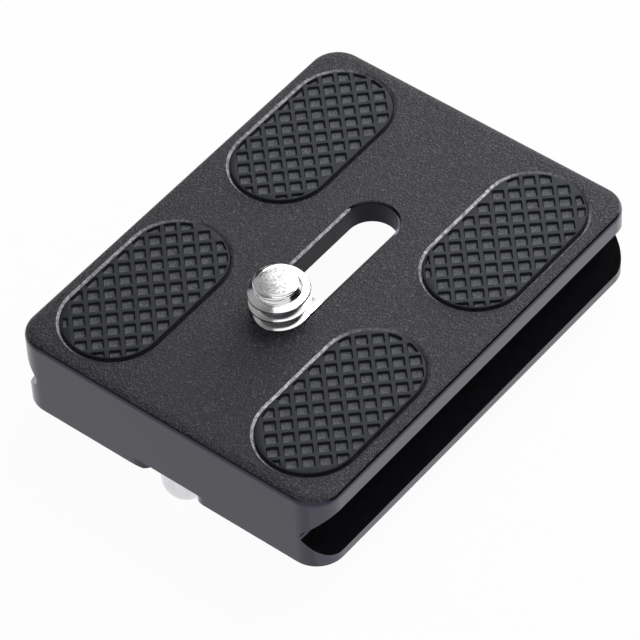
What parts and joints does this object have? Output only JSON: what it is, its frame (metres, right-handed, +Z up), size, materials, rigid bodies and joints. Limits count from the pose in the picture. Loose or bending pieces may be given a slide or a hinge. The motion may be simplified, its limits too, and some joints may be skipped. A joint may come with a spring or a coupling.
{
  "type": "tripod quick release plate",
  "caption": "Small dovetail camera plate with waffled rubber grip pads, a captive camera screw that slides in a slot, a folding ring to turn it, and stop screws underneath.",
  "frame": {"origin": "under the middle of the plate, level with the lowest points of the stop screws", "axes": "+X along the dovetail, +Y across it, +Z up towards the camera"},
  "size_m": [0.05, 0.038, 0.0165],
  "materials": {
    "anodised_plate": "black anodised, bead blasted",
    "pad_rubber": "matt moulded",
    "plated_steel": "bright nickel plated",
    "washer_steel": "bright",
    "ring_steel": "bright nickel plated",
    "stop_steel": "satin nickel plated"
  },
  "bodies": {
    "plate": {"plate_body": "anodised_plate", "grip_pad_front_left": "pad_rubber", "grip_pad_front_right": "pad_rubber", "grip_pad_rear_left": "pad_rubber", "grip_pad_rear_right": "pad_rubber", "stop_screw_front": "stop_steel", "stop_screw_rear": "stop_steel"},
    "washer": {"screw_washer": "washer_steel"},
    "screw": {"camera_screw": "plated_steel"},
    "ring": {"folding_ring": "ring_steel", "ring_pin": "ring_steel"}
  },
  "joints": [
    {"name": "screw_slide", "type": "slide", "parent": "plate", "child": "washer", "axis": [1, 0, 0], "range_m": [0, 0.01419]},
    {"name": "screw_turn", "type": "hinge", "parent": "washer", "child": "screw", "pos_m": [-0.00709, 0, 0.0126], "axis": [0, 0, 1], "continuous": true},
    {"name": "ring_fold", "type": "hinge", "parent": "screw", "child": "ring", "pos_m": [-0.00709, 0, 0.00485], "axis": [0, -1, 0], "range_deg": [0, 180]}
  ]
}
